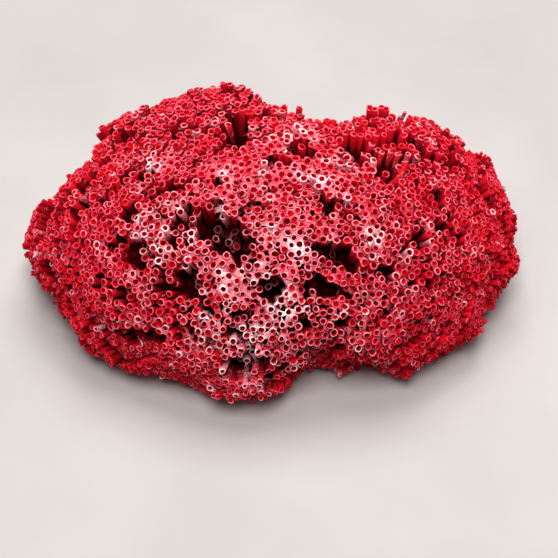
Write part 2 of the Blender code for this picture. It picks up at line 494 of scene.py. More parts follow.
def missing(ways, wider=0.0, ragged=0.0, gaps=GAPS + SMALL_GAPS):
    """How much shorter the pipes are along unit directions, because of the gaps, in millimetres.

    Ragged, one number a direction, moves the gaps' outlines in and out, as shares of their size."""
    deepest = np.zeros(len(ways))
    for _, azimuth, elevation, length, width, depth, turn in gaps:
        middle, along, across = gap_frame(azimuth, elevation, turn)
        ahead = np.maximum(ways @ middle, 0.5)
        offset = (ways / ahead[:, None] - middle) * reach(middle[None])[0]
        half_length, half_width = GAP_SHARE * length / 2 + wider, GAP_SHARE * width / 2 + wider
        apart = np.hypot(offset @ along / half_length, offset @ across / half_width)
        share = np.clip((1 + GAP_EDGE - apart - ragged) / GAP_EDGE, 0, 1)
        deepest = np.maximum(deepest, depth * share)
    return deepest


def core_reach(ways):
    """How far the old, dense skeleton that no one sees into is from the heart, in millimetres."""
    outside = reach(ways)
    gaps = missing(ways, wider=CORE_BESIDE_GAPS, gaps=GAPS) + CORE_UNDER_GAPS
    return np.maximum(CORE_SHARE * outside, outside - np.maximum(CORE_DEPTH, gaps))


def soft_noise(places, size, shift=0.0):
    """Smooth noise from about -1 to 1 at places in millimetres, with lumps about this size.

    Another shift gives another pattern."""
    return np.array([noise.noise(Vector(p) / size + Vector((shift, shift, shift))) for p in places])


# Where the pipes stand


def spread_directions(count, rng):
    """Directions spread evenly over the sphere by the golden angle, in a shuffled order."""
    k = np.arange(count)
    z = 1 - (2 * k + 1) / count
    level = np.sqrt(1 - z * z)
    ways = np.stack([level * np.cos(k * GOLDEN_TURN), level * np.sin(k * GOLDEN_TURN), z], axis=1)
    return rng.permutation(ways)


def scatter(places, rooms, taken=(), taken_rooms=()):
    """Picks places in order, each at least its own and the other's room away from those picked before it.

    Returns the picked indices. The taken places are kept clear of, and aren't among them."""
    cell = 2 * max(float(np.max(rooms)), max(taken_rooms, default=0))
    grid = {}

    def file_under(place, room):
        key = tuple(int(math.floor(c / cell)) for c in place)
        grid.setdefault(key, []).append((*place, room))

    def is_free(place, room):
        x, y, z = (int(math.floor(c / cell)) for c in place)
        for i in (x - 1, x, x + 1):
            for j in (y - 1, y, y + 1):
                for k in (z - 1, z, z + 1):
                    for a, b, c, other in grid.get((i, j, k), ()):
                        apart = (a - place[0]) ** 2 + (b - place[1]) ** 2 + (c - place[2]) ** 2
                        if apart < (room + other) ** 2:
                            return False
        return True

    for place, room in zip(taken, taken_rooms):
        file_under(tuple(place), room)
    picked = []
    for i, (place, room) in enumerate(zip(places.tolist(), rooms.tolist())):
        if is_free(place, room):
            file_under(tuple(place), room)
            picked.append(i)
    return picked


def relax(ways, rooms, rounds):
    """Moves the directions apart on the outside, where two of them stand in each other's room."""
    for _ in range(rounds):
        places = ways * reach(ways)[:, None]
        tree = KDTree(len(places))
        for i, place in enumerate(places):
            tree.insert(place, i)
        tree.balance()
        pushed = places.copy()
        for i, place in enumerate(places):
            here = Vector(place)
            push = Vector()
            for other, j, apart in tree.find_range(here, 2.2 * rooms[i]):
                room = rooms[i] + rooms[j]
                if 0 < apart < room:
                    push += (here - other) / apart * (room - apart) * 0.35
            pushed[i] += push
        ways = unit(pushed)
    return ways


def margin(ways):
    """0 on the crown and the front and 1 low at the sides and the back, with a soft step between."""
    inner = np.clip((ways[:, 2] + 0.35 * np.clip(-ways[:, 1], 0, 1)) / CROWN_RISE, 0, 1)
    return 1 - inner * inner * (3 - 2 * inner)


def size_share(ways, margin_share):
    """The pipes' width as a share: full in the middle, smaller towards the margins."""
    crown_share = 1.04
    return crown_share - (crown_share - margin_share) * margin(ways)


def standing_places(settings, rng):
    """Directions and widths of the pipes, and which are young: grown ones, then young ones between them."""
    young_clearance = 0.03

    def on_the_colony(ways):
        return ways[(ways * reach(ways)[:, None])[:, 2] + HEART[2] > LOWEST_TIP]

    ways = on_the_colony(spread_directions(GROWN_TRIES, rng))
    widths = settings.width / MM * size_share(ways, settings.margin_share) * rng.normal(1, 0.07, len(ways))
    rooms = (widths + settings.spacing / MM) / 2 / upright(ways) ** 0.6
    grown = scatter(ways * reach(ways)[:, None], rooms * 0.78)
    grown_widths = widths[grown]
    grown_ways = relax(ways[grown], rooms[grown], 12)
    ways = on_the_colony(spread_directions(YOUNG_TRIES, rng))
    widths = settings.young_width / MM * size_share(ways, settings.margin_share)
    widths = widths * rng.uniform(0.75, 1.2, len(ways))
    young = scatter(
        ways * reach(ways)[:, None], widths / 2 + young_clearance,
        grown_ways * reach(grown_ways)[:, None], grown_widths / 2 + young_clearance)
    ways = np.concatenate([grown_ways, ways[young]])
    return ways, np.concatenate([grown_widths, widths[young]]), np.arange(len(ways)) >= len(grown)


def bundle_lifts(places, room, low, high, seed):
    """A lift for each place, the same within a bundle: bundles are wide and flat, with ragged edges."""
    rng = np.random.default_rng(seed)
    flatten = np.array((1, 1, BUNDLE_FLATNESS))
    ways = spread_directions(BUNDLE_TRIES, rng)
    middles = ways * reach(ways)[:, None] * flatten
    middles = middles[scatter(middles, np.full(len(middles), room))]
    tree = KDTree(len(middles))
    for i, place in enumerate(middles):
        tree.insert(place, i)
    tree.balance()
    lifts = rng.uniform(low, high, len(middles))
    warp = np.stack([soft_noise(places, 4.5, shift) for shift in (40.0, 50.0, 60.0)], axis=1)
    return np.array([lifts[tree.find(place)[1]] for place in (places + BUNDLE_STRAY * warp) * flatten])


def fan_axes(places):
    """The unit directions in which pipes with these tips, in millimetres from the heart, point."""
    crown = np.clip(unit(places)[:, 2:] / CROWN_RISE, 0, 1)
    share, middle = (
        np.array(low) * (1 - crown) + np.array(high) * crown for low, high in zip(MARGIN_FAN, CROWN_FAN))
    depth_share = np.where(places[:, 1] < 0, share[:, 1], share[:, 2])
    share = np.stack([share[:, 0], depth_share, 0 * depth_share], axis=1)
    return unit(places * (1 - share) - middle)


def flat_places(ways):
    """The directions' places on a flat map, seen from opposite the top of the dome."""
    return ways[:, :2] / (1 + ways[:, 2:])


def flat_across(ways, axes):
    """The unit vectors at right angles to the axes that lie along the flat map's own first axis."""
    x, y = flat_places(ways).T
    across = unit(np.stack([1 + y * y - x * x, -2 * x * y, -2 * x], axis=1))
    return unit(across - axes * (across * axes).sum(1)[:, None])


def upright(ways):
    """How squarely the pipes meet the outside: 1 where they stand at right angles to it, less at a slant."""
    axes = fan_axes(ways * reach(ways)[:, None])
    return np.clip((axes * outside_normals(ways)).sum(1), 0.5, 1)


def broken_ends(ways, places, edge, seed, rng):
    """How far from the heart each pipe broke off, in bundles and lower in the gaps, and which are gone."""
    count = len(ways)
    outside = reach(ways, SWELLS + TOUCHES)
    lifts = bundle_lifts(places, *WIDE_BUNDLES, seed + 1)
    lifts += (0.65 + 1.05 * edge) * bundle_lifts(places, *NARROW_BUNDLES, seed + 2)
    lifts += 0.5 * soft_noise(places, 9, 3.3)
    hollow = missing(ways, ragged=0.55 * soft_noise(places, 3.5, 6.6))
    broken = hollow * rng.uniform(0.5, 1.0, count)
    gone = (hollow > GONE_DEPTH) & (rng.random(count) < GONE_SHARE)
    return np.maximum(outside - broken + lifts, 0.33 * outside) + rng.normal(0, 0.14, count), gone


def rim_stands(ways, places, edge, is_young, rng):
    """How far each rim stands above its floor: hardly at all on the flat shelves."""
    count = len(ways)
    stand = 1.25 * np.clip(soft_noise(places, 13, 8.1) + 0.22 * soft_patch(ways, *PROUD_FRONT) - 0.08, 0, 1)
    stand += 3.2 * edge * np.clip(soft_noise(places, 8, 18.1) + 0.1, 0, 1)
    stand = np.clip(0.15 + stand + rng.normal(0, 0.12, count) + 0.4 * rng.random(count) ** 3, 0.04, None)
    stand[is_young] *= 0.6
    return stand


def paleness(ways, places, rng):
    """How pale each pipe is: more in the middle, in specks and in crusted patches, less at the margins."""
    pale = 0.30 * soft_patch(ways, *PALE_MIDDLE) + rng.normal(0, 0.08, len(ways))
    pale += 0.34 * soft_noise(places, 5, 1.7) + 1.8 * np.clip(soft_noise(places, 3.2, 9.7) - 0.25, 0, 1)
    pale -= 0.3 * margin(ways)
    ragged = 1 + 0.6 * soft_noise(places, 2.5, 12.3)
    for _, azimuth, elevation, spread, strength in PALE_PATCHES:
        pale += strength * soft_patch(ways, azimuth, elevation, spread, ragged)
    return pale


@functools.cache
def pipe_layout():
    """All the pipes, as arrays with one entry a pipe, in millimetres."""
    settings = bpy.context.scene.coral_pipes
    rng = np.random.default_rng(settings.seed)
    ways, widths, is_young = standing_places(settings, rng)
    count = len(ways)
    places = ways * reach(ways)[:, None]
    edge = np.clip((angle_from(ways, *SEEN_MIDDLE) - EDGE_START) / EDGE_SOFTNESS, 0, 1)
    ends, gone = broken_ends(ways, places, edge, settings.seed, rng)
    stand = rim_stands(ways, places, edge, is_young, rng)
    ends = ends + 0.5 * stand - 0.1
    stand += 0.03

    tips = HEART + ways * ends[:, None]
    axes = unit(fan_axes(tips - HEART) + rng.normal(0, 0.035, (count, 3)))
    # Where a pipe comes up at a slant to the outside, its floor meets it lower down
    square = upright(ways)
    stand += 0.7 * widths / 2 * np.sqrt(1 - square * square) / square
    rise = np.zeros(count)
    for _, azimuth, elevation, spread, height in RISES:
        near = angle_from(ways, azimuth, elevation) < spread
        rise[near] = height * rng.uniform(0.45, 1.0, near.sum())
    tips += axes * rise[:, None]
    stand += rise
    length = (ends - core_reach(ways) + 2.0) / np.maximum((axes * ways).sum(1), 0.55)
    length = np.where(is_young, np.minimum(length, YOUNG_LENGTH), length) + rise

    # Lime has crusted the palest floors almost up to the rims
    pale = paleness(ways, places, rng)
    stand *= 1 - 0.7 * np.clip(2 * pale - 1, 0, 1)
    scattered = SimpleNamespace(
        flat=flat_places(ways), ways=ways, tips=tips, axes=axes, across=flat_across(ways, axes),
        radius=widths / 2, length=length, stand=stand, height=ends + rise,
        buried=np.maximum(reach(ways, SWELLS + TOUCHES) - ends, 0), pale=np.clip(pale, -0.4, 1),
        tone=rng.uniform(0, 1, count) - 0.45 * soft_patch(ways, *CROWN_PAINTED_SHADE),
        open=np.where(
            rng.random(count) < 0.2 + 0.6 * margin(ways), rng.uniform(0.14, 0.32, count),
            rng.uniform(0.34, 0.8, count)),
        sway=rng.normal(0, 1, (count, 3)) * 0.03 * length[:, None],
        slant=rng.normal(0, 0.18, (count, 2)), azimuth=np.degrees(np.arctan2(ways[:, 1], ways[:, 0])))
    rows = row_layout(rng)
    clear = ~gone & ~crowded(scattered, rows)
    return SimpleNamespace(**{
        key: np.concatenate([getattr(scattered, key)[clear], getattr(rows, key)]) for key in vars(rows)})


def row_layout(rng):
    """The pipes of the rows, in the same terms."""
    each = []
    for _, first, last, count, to_foot, width, pale, tone in ROWS:
        for share in np.linspace(0, 1, count):
            tip = np.array(first) * (1 - share) + np.array(last) * share + rng.normal(0, (0.25, 0.5, 0.9), 3)
            each.append((*tip, *to_foot, width * rng.uniform(0.85, 1.1), pale * rng.uniform(0.6, 1.3), tone))
    each = np.array(each)
    tips, to_foot, (widths, pale, tone) = each[:, :3], each[:, 3:6], each[:, 6:].T
    length = np.linalg.norm(to_foot, axis=1)
    axes = -unit(to_foot)
    stand = 0.75 * length
    floors = tips - axes * stand[:, None] - HEART
    ways = unit(floors)
    still = np.zeros((len(tips), 3))
    return SimpleNamespace(
        flat=flat_places(ways), ways=ways, tips=tips, axes=axes, across=flat_across(ways, axes),
        radius=widths / 2, length=length, stand=stand, height=np.linalg.norm(floors, axis=1) + stand,
        buried=still[:, 0], pale=pale, tone=tone, open=rng.uniform(0.2, 0.5, len(tips)),
        sway=still, slant=rng.normal(0, 0.18, (len(tips), 2)),
        azimuth=np.degrees(np.arctan2(ways[:, 1], ways[:, 0])))


def crowded(pipes, others):
    """Which of the pipes run into any of the others."""
    steps = np.array((0.0, 1.5, 3.0, 4.5, 6.0))
    along = np.linspace(0, 1, 8)
    here = pipes.tips[:, None] - pipes.axes[:, None] * steps[None, :, None]
    there = others.tips[:, None] - others.axes[:, None] * (others.length[:, None] * along)[:, :, None]
    hit = np.zeros(len(pipes.tips), bool)
    for places, radius in zip(there, others.radius):
        apart = np.linalg.norm(here[:, :, None] - places[None, None], axis=3).min(axis=(1, 2))
        hit |= apart < pipes.radius + radius + 0.1
    return hit


@functools.cache
def stub_layout():
    """The pipes that the cut under the colony goes through, in the same terms: their rims face down."""
    settings = bpy.context.scene.coral_pipes
    rng = np.random.default_rng(settings.seed + 5)
    pitch = (settings.width + 2 * settings.spacing) / MM
    rows, columns = np.mgrid[-45:46, -60:61]
    places = np.stack([(columns + 0.5 * (rows % 2)) * pitch, rows * pitch * 0.87], axis=-1).reshape(-1, 2)
    places = places + rng.normal(0, 0.13 * pitch, places.shape)
    azimuths = np.degrees(np.arctan2(places[:, 1], places[:, 0]))
    edge_clearance = 1.4
    places = places[np.hypot(*places.T) < foot_reach(azimuths) - edge_clearance]
    count = len(places)
    tips = np.pad(places + HEART[:2], ((0, 0), (0, 1)))
    tips[:, 2] = rng.choice((0.0, 0.0, 0.12, 0.25), count)
    axes = unit(np.concatenate([-places * 0.006, np.full((count, 1), -1.0)], axis=1))
    across = unit(np.cross((0, 1, 0), axes))
    still = np.zeros((count, 3))
    return SimpleNamespace(
        flat=places * (-1, 1), tips=tips, axes=axes, across=across,
        radius=settings.width / MM / 2 * rng.uniform(0.85, 1.05, count), length=np.full(count, 3.6),
        stand=rng.uniform(0.25, 0.8, count), height=-tips[:, 2], buried=np.full(count, 2.0),
        pale=np.clip(0.25 + 0.4 * soft_noise(tips, 9, 4.0), 0, 1), tone=rng.uniform(0, 1, count),
        open=rng.uniform(0.15, 0.6, count), sway=still, slant=still[:, :2])


def foot_reach(azimuths):
    """How far the colony's foot on the floor is from under the heart at these azimuths, in millimetres."""
    elevations = np.arange(-60.0, -2.0, 0.5)
    compass = np.arange(-180.0, 181.0, 2.0)
    edge = []
    for azimuth in compass:
        ways = np.array([direction(azimuth, elevation) for elevation in elevations])
        places = ways * reach(ways, SWELLS + TOUCHES)[:, None]
        level = np.hypot(places[:, 0], places[:, 1])
        edge.append(np.interp(-HEART[2], places[:, 2], level))
    return np.interp(azimuths, compass, edge)


# Node trees


def add(tree, kind, inputs=None, **settings):
    """Adds a node, sets its settings, and links or sets its inputs."""
    made = tree.nodes.new(kind)
    for name, value in settings.items():
        setattr(made, name, value)
    for key, value in (inputs or {}).items():
        if isinstance(value, bpy.types.NodeSocket):
            tree.links.new(value, made.inputs[key])
        else:
            made.inputs[key].default_value = value
    return made


def math_node(tree, operation, *values, clamp=False):
    """Adds a Math node and gives its value."""
    made = add(tree, "ShaderNodeMath", dict(enumerate(values)), operation=operation, use_clamp=clamp)
    return made.outputs[0]


def vector_node(tree, operation, first, second=None, scale=None):
    """Adds a Vector Math node and gives its value or vector."""
    inputs = {0: first}
    if second is not None:
        inputs[1] = second
    if scale is not None:
        inputs["Scale"] = scale
    made = add(tree, "ShaderNodeVectorMath", inputs, operation=operation)
    return made.outputs["Value" if operation in ("DOT_PRODUCT", "LENGTH") else "Vector"]


def stored(tree, name, kind="FLOAT"):
    """A geometry tree's own attribute of this name."""
    made = add(tree, "GeometryNodeInputNamedAttribute", {"Name": name}, data_type=kind)
    return next(s for s in made.outputs if s.enabled and s.name == "Attribute")


def store(tree, geometry, name, value, kind="FLOAT"):
    """Stores the value on the geometry's points under this name and gives the geometry."""
    made = add(
        tree, "GeometryNodeStoreNamedAttribute", {"Geometry": geometry, "Name": name}, data_type=kind,
        domain="POINT")
    tree.links.new(value, next(s for s in made.inputs if s.enabled and s.name == "Value"))
    return made.outputs["Geometry"]


def pipes_tree():
    """Stands a pipe on each point, along the point's own axis and at its own width and length."""
    tree = bpy.data.node_groups.new("Pipes on points", "GeometryNodeTree")
    for name, kind in (
            ("Geometry", "Geometry"), ("Pipe", "Object"), ("Lowest", "Float"), ("Hole depth", "Float"),
            ("Dark depth", "Float"), ("Unevenness", "Float"), ("Material", "Material")):
        tree.interface.new_socket(name, in_out="INPUT", socket_type="NodeSocket" + kind)
    tree.interface.new_socket("Geometry", in_out="OUTPUT", socket_type="NodeSocketGeometry")
    given = add(tree, "NodeGroupInput").outputs
    pipe = add(tree, "GeometryNodeObjectInfo", {"Object": given["Pipe"]}).outputs["Geometry"]
    position = add(tree, "GeometryNodeInputPosition").outputs[0]
    pipe = store(tree, pipe, "local", position, "FLOAT_VECTOR")
    instances = add(tree, "GeometryNodeInstanceOnPoints", {"Points": given["Geometry"], "Instance": pipe})
    pipes = add(tree, "GeometryNodeRealizeInstances", {"Geometry": instances.outputs[0]}).outputs[0]

    # Each point of the template's mesh goes to its place on the pipe: round, slanted at the rim, uneven
    local = stored(tree, "local", "FLOAT_VECTOR")
    axis, across = stored(tree, "axis", "FLOAT_VECTOR"), stored(tree, "across", "FLOAT_VECTOR")
    slant, sway = stored(tree, "slant", "FLOAT_VECTOR"), stored(tree, "sway", "FLOAT_VECTOR")
    radius, length, down = stored(tree, "radius"), stored(tree, "length"), stored(tree, "down")
    part = add(tree, "ShaderNodeSeparateXYZ", {0: local}).outputs
    upward = vector_node(tree, "CROSS_PRODUCT", axis, across)
    round_it = vector_node(
        tree, "ADD", vector_node(tree, "SCALE", across, scale=part["X"]),
        vector_node(tree, "SCALE", upward, scale=part["Y"]))
    round_it = vector_node(tree, "SCALE", round_it, scale=radius)
    tilt = vector_node(tree, "DOT_PRODUCT", slant, local)
    tilt = math_node(tree, "MULTIPLY", tilt, stored(tree, "top"))
    inside = math_node(tree, "MULTIPLY", stored(tree, "hollow"), given["Hole depth"])
    inside = math_node(tree, "MULTIPLY", inside, stored(tree, "open"))
    below = math_node(
        tree, "SUBTRACT", math_node(tree, "MULTIPLY", down, length),
        math_node(tree, "MULTIPLY", math_node(tree, "ADD", part["Z"], tilt), radius))
    below = math_node(tree, "ADD", below, inside)
    along = vector_node(tree, "SCALE", axis, scale=math_node(tree, "MULTIPLY", below, -1.0))
    bend = vector_node(tree, "SCALE", sway, scale=math_node(tree, "POWER", down, 2.0))
    tip = vector_node(tree, "SUBTRACT", position, local)
    uneven = add(tree, "ShaderNodeTexNoise", {
        "Vector": vector_node(tree, "ADD", tip, vector_node(tree, "ADD", round_it, along)),
        "Scale": 620.0, "Detail": 0.0}).outputs["Color"]
    uneven = vector_node(tree, "SUBTRACT", uneven, (0.5, 0.5, 0.5))
    bend = vector_node(tree, "ADD", bend, vector_node(tree, "SCALE", uneven, scale=given["Unevenness"]))
    place = vector_node(tree, "ADD", round_it, vector_node(tree, "ADD", along, bend))
    place = vector_node(tree, "ADD", tip, place)
    xyz = add(tree, "ShaderNodeSeparateXYZ", {0: place}).outputs
    place = add(tree, "ShaderNodeCombineXYZ", {
        "X": xyz["X"], "Y": xyz["Y"], "Z": math_node(tree, "MAXIMUM", xyz["Z"], given["Lowest"])}).outputs[0]

    # What the material reads: how far below the rim, how far inside and how deep in the colony a point is,
    # which it turns into painted shade
    under_outside = math_node(tree, "ADD", stored(tree, "buried"), below)
    deep = math_node(tree, "DIVIDE", under_outside, given["Dark depth"], clamp=True)
    pipes = store(tree, pipes, "below", math_node(tree, "MULTIPLY", below, 1 / MM))
    pipes = store(tree, pipes, "inside", math_node(tree, "MULTIPLY", inside, 1 / MM))
    pipes = store(tree, pipes, "deep", deep)
    pipes = add(tree, "GeometryNodeSetPosition", {"Geometry": pipes, "Position": place}).outputs[0]
    pipes = add(tree, "GeometryNodeSetShadeSmooth", {"Geometry": pipes}).outputs[0]
    for name in (
            "local", "axis", "across", "slant", "sway", "radius", "length", "down", "top", "buried",
            "hollow", "open"):
        pipes = add(tree, "GeometryNodeRemoveAttribute", {"Geometry": pipes, "Name": name}).outputs[0]
    finished = add(tree, "GeometryNodeSetMaterial", {"Geometry": pipes, "Material": given["Material"]})
    add(tree, "NodeGroupOutput", {"Geometry": finished.outputs[0]})
    return tree


def set_modifier_inputs(modifier, values):
    """Sets Geometry Nodes inputs by their sockets' identifiers."""
    for item in modifier.node_group.interface.items_tree:
        if item.item_type == "SOCKET" and item.in_out == "INPUT" and item.name in values:
            modifier[item.identifier] = values[item.name]


def plain_mesh(obj, name):
    """The object's evaluated mesh as a mesh of its own."""
    bpy.context.view_layer.update()
    depsgraph = bpy.context.evaluated_depsgraph_get()
    mesh = bpy.data.meshes.new_from_object(
        obj.evaluated_get(depsgraph), preserve_all_data_layers=True, depsgraph=depsgraph)
    mesh.name = name
    return mesh


# Materials


def mix_colours(tree, factor, first, second):
    """The first colour where the factor is 0 and the second where it is 1."""
    made = add(tree, "ShaderNodeMix", {"Factor": factor}, data_type="RGBA")
    ends = [s for s in made.inputs if s.enabled and s.type == "RGBA"]
    for socket, value in zip(ends, (first, second)):
        if isinstance(value, bpy.types.NodeSocket):
            tree.links.new(value, socket)
        else:
            socket.default_value = (*value, 1.0)
    return next(s for s in made.outputs if s.enabled and s.type == "RGBA")


def mask(tree, value, low, high):
    """0 below low and 1 above high, with a soft step between, or the other way round if low is higher."""
    made = add(tree, "ShaderNodeMapRange", {"Value": value, "From Min": low, "From Max": high},
               interpolation_type="SMOOTHSTEP")
    return made.outputs["Result"]


def attribute(tree, name):
    """A shader's value of the mesh's own attribute of this name."""
    return add(tree, "ShaderNodeAttribute", attribute_name=name).outputs["Fac"]


def skin_group(colours):
    """The skeleton's reds and its chalky grain, which the pipes and the floors share."""
    tree = bpy.data.node_groups.get("Coral skin")
    if tree:
        return tree
    tree = bpy.data.node_groups.new("Coral skin", "ShaderNodeTree")
    for name, kind in (
            ("Wall", "Color"), ("Bloom", "Color"), ("Worn", "Color"), ("Patches", "Float"),
            ("Frost", "Float"), ("Roughness", "Float"), ("Height", "Float")):
        tree.interface.new_socket(name, in_out="OUTPUT", socket_type="NodeSocket" + kind)
    coords = add(tree, "ShaderNodeTexCoord").outputs["Object"]

    def mottle(scale, detail):
        made = add(tree, "ShaderNodeTexNoise", {"Vector": coords, "Scale": scale, "Detail": detail})
        return made.outputs["Fac"]

    def pale_mask(speckled, low, high):
        """A mask of the pale places, its edge broken up by this much of the grain."""
        speckle = math_node(tree, "MULTIPLY", math_node(tree, "SUBTRACT", grain, 0.5), 2.6 * speckled)
        return mask(tree, math_node(tree, "ADD", attribute(tree, "pale"), speckle), low, high)

    grain, patches = mottle(1500.0, 2.0), mottle(300.0, 3.0)
    wall_share = mask(tree, math_node(tree, "ADD", attribute(tree, "tone"), patches), 0.35, 1.4)
    wall = mix_colours(tree, wall_share, colours.dark_wall, colours.wall)
    rim = mix_colours(tree, pale_mask(0.2, 0.0, -0.3), colours.rim, colours.fresh_rim)
    bloom = mix_colours(tree, pale_mask(0.55, -0.05, 0.6), rim, colours.pale_rim)
    worn = mix_colours(tree, pale_mask(0.65, 0.6, 0.85), bloom, colours.lime)
    rough = add(tree, "ShaderNodeMapRange", {"Value": grain, "To Min": 0.55, "To Max": 0.85})
    add(tree, "NodeGroupOutput", {
        "Wall": wall, "Bloom": bloom, "Worn": worn, "Patches": patches, "Frost": pale_mask(0.7, 0.35, 1.0),
        "Roughness": rough.outputs["Result"], "Height": mottle(2800.0, 4.0)})
    return tree


def share_of(tree, value, share):
    """A share of a value in a shader."""
    return math_node(tree, "MULTIPLY", value, share)


def brightened(colour, share):
    """The colour at this share of its brightness: darker below 1, lighter above it."""
    return tuple(share * channel for channel in colour)


def finish_shader(material, colour, specular, roughness, strength, distance, height):
    """Sets what the coral's materials all have: colour, shine, roughness and relief."""
    tree = material.node_tree
    bump = add(tree, "ShaderNodeBump", {"Strength": strength, "Distance": distance, "Height": height})
    shader = tree.nodes["Principled BSDF"]
    shader.inputs["Specular IOR Level"].default_value = specular
    if isinstance(roughness, float):
        shader.inputs["Roughness"].default_value = roughness
    else:
        tree.links.new(roughness, shader.inputs["Roughness"])
    tree.links.new(colour, shader.inputs["Base Color"])
    tree.links.new(bump.outputs["Normal"], shader.inputs["Normal"])


def coral_material(name, is_pipe, colours):
    """The skeleton's finish, for pipes or for floors."""
    material = bpy.data.materials.new(name)
    material.use_nodes = True
    tree = material.node_tree
    skin = add(tree, "ShaderNodeGroup", node_tree=skin_group(colours)).outputs
    if is_pipe:
        # Walls darken downwards as painted shade, except the brightest, and frost over where they are pale
        below, inside = attribute(tree, "below"), attribute(tree, "inside")
        lasting = mask(tree, attribute(tree, "tone"), 1.35, 1.05)
        shaded = math_node(tree, "MULTIPLY", mask(tree, below, 0.4, 4.0), lasting)
        in_shade = brightened(colours.dark_wall, 0.6)
        colour = mix_colours(tree, share_of(tree, shaded, 0.65), skin["Wall"], in_shade)
        colour = mix_colours(tree, share_of(tree, skin["Frost"], 0.65), colour, skin["Bloom"])
        # Rims take the worn colour: partly real wear, partly a painted highlight along their tops
        colour = mix_colours(tree, mask(tree, below, 0.26, 0.04), colour, skin["Worn"])
        colour = mix_colours(tree, mask(tree, inside, 0.02, 0.25), colour, colours.hole)
        # Painted shade: the holes darken to near black further in
        hole_bottom = brightened(colours.deep, 2.6)
        colour = mix_colours(tree, mask(tree, inside, 0.5, 3.0), colour, hole_bottom)
    else:
        # Floors are worn where they are pale, take the walls' red lower down as painted shade, and have pale
        # broken edges that are partly a painted highlight
        bare = math_node(tree, "SUBTRACT", skin["Patches"], attribute(tree, "pale"))
        colour = mix_colours(tree, mask(tree, bare, -0.3, 0.6), skin["Worn"], skin["Wall"])
        sunk = mask(tree, attribute(tree, "sunk"), 0.0, 0.8)
        colour = mix_colours(tree, share_of(tree, sunk, 0.96), colour, skin["Wall"])
        lip = mask(tree, attribute(tree, "lip"), 0.55, 1.0)
        colour = mix_colours(tree, share_of(tree, lip, 0.6), colour, skin["Worn"])
    # Painted shade: pipes and floors darken to the deep colour the further they lie under the outside
    colour = mix_colours(tree, mask(tree, attribute(tree, "deep"), 0.12, 0.9), colour, colours.deep)
    finish_shader(material, colour, 0.035, skin["Roughness"], 0.5, 0.12 * MM, skin["Height"])
    return material


def deep_material(colours):
    """The old skeleton at the bottom of the clefts: painted near-black red as shade, with the marks of
    crowded pipes.
    """
    material = bpy.data.materials.new("coral_deep")
    material.use_nodes = True
    tree = material.node_tree
    coords = add(tree, "ShaderNodeTexCoord").outputs["Object"]
    pattern = add(tree, "ShaderNodeTexVoronoi", {"Vector": coords, "Scale": 420.0}, feature="F1")
    cells = pattern.outputs["Distance"]
    colour = mix_colours(tree, mask(tree, cells, 0.1, 0.5), colours.deep, brightened(colours.deep, 0.3))
    finish_shader(material, colour, 0.02, 0.9, 0.8, 0.5 * MM, cells)
    return material


# Pieces


def dress(obj):
    """Makes the piece ride with the colony and stand for it."""
    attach(obj, "root")
    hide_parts("colony")


def new_piece(name, mesh):
    """An object of this mesh, in the scene."""
    piece = bpy.data.objects.new(name, mesh)
    bpy.context.scene.collection.objects.link(piece)
    return piece


def write_values(mesh, values):
    """Stores named values on the mesh's points: single numbers, or vectors of three."""
    for name, numbers in values.items():
        numbers = np.asarray(numbers, np.float32)
        if numbers.ndim == 1:
            mesh.attributes.new(name, "FLOAT", "POINT").data.foreach_set("value", numbers)
        else:
            mesh.attributes.new(name, "FLOAT_VECTOR", "POINT").data.foreach_set("vector", numbers.ravel())


def tube_faces(rings, sides):
    """The faces of a closed tube: a cap on its first ring, its walls and a cap on its last ring."""
    faces = [tuple(reversed(range(sides)))]
    for ring in range(rings - 1):
        for k in range(sides):
            a, b = ring * sides + k, ring * sides + (k + 1) % sides
            faces.append((a, b, b + sides, a + sides))
    last = (rings - 1) * sides
    return faces + [tuple(range(last, last + sides))]


def pipe_template(settings):
    """One open pipe of unit radius: rings from its deep end up its wall, over the rim and down its hole.

    "down" is a share of the length and "hollow" of the hole's depth, and "top" rings follow the slant."""
    sides = settings.sides
    hole = settings.hole_share
    # radius, z as a share of the pipe's radius, down, top, hollow
    rings = (
        (1 - PIPE_TAPER, 0.0, 1.0, 0.0, 0.0),
        (1.00, -0.14, 0.0, 1.0, 0.0),
        (hole, 0.0, 0.0, 1.0, 0.0),
        (hole * 0.93, 0.0, 0.0, 0.4, 0.3),
        (hole * 0.80, 0.0, 0.0, 0.0, 1.0),
    )
    turns = np.arange(sides) * 2 * math.pi / sides
    points = []
    values = {"down": [], "top": [], "hollow": []}
    for radius, z, down, top, hollow in rings:
        for turn in turns:
            points.append((radius * math.cos(turn), radius * math.sin(turn), z))
            values["down"].append(down)
            values["top"].append(top)
            values["hollow"].append(hollow)
    mesh = bpy.data.meshes.new("pipe_template")
    mesh.from_pydata(points, [], tube_faces(len(rings), sides))
    write_values(mesh, values)
    return new_piece("pipe_template", mesh)


def grow_pipes(name, pipes, chosen, template, tree, settings, material):
    """A piece of the pipes that are chosen, grown on their tips by Geometry Nodes."""
    mesh = bpy.data.meshes.new(name)
    mesh.from_pydata((pipes.tips[chosen] * MM).tolist(), [], [])
    write_values(mesh, {
        "axis": pipes.axes[chosen], "across": pipes.across[chosen],
        "radius": pipes.radius[chosen] * MM, "length": pipes.length[chosen] * MM,
        "buried": pipes.buried[chosen] * MM, "sway": pipes.sway[chosen] * MM,
        "slant": np.pad(pipes.slant[chosen], ((0, 0), (0, 1))),
        "tone": pipes.tone[chosen], "pale": pipes.pale[chosen], "open": pipes.open[chosen],
    })
    points = new_piece(name + "_points", mesh)
    modifier = points.modifiers.new("pipes", "NODES")
    modifier.node_group = tree
    set_modifier_inputs(modifier, {
        "Pipe": template, "Lowest": 0.0, "Hole depth": settings.hole_depth, "Dark depth": DARK_DEPTH * MM,
        "Unevenness": PIPE_UNEVENNESS * MM, "Material": material})
    piece = new_piece(name, plain_mesh(points, name))
    bpy.data.objects.remove(points)
    return piece


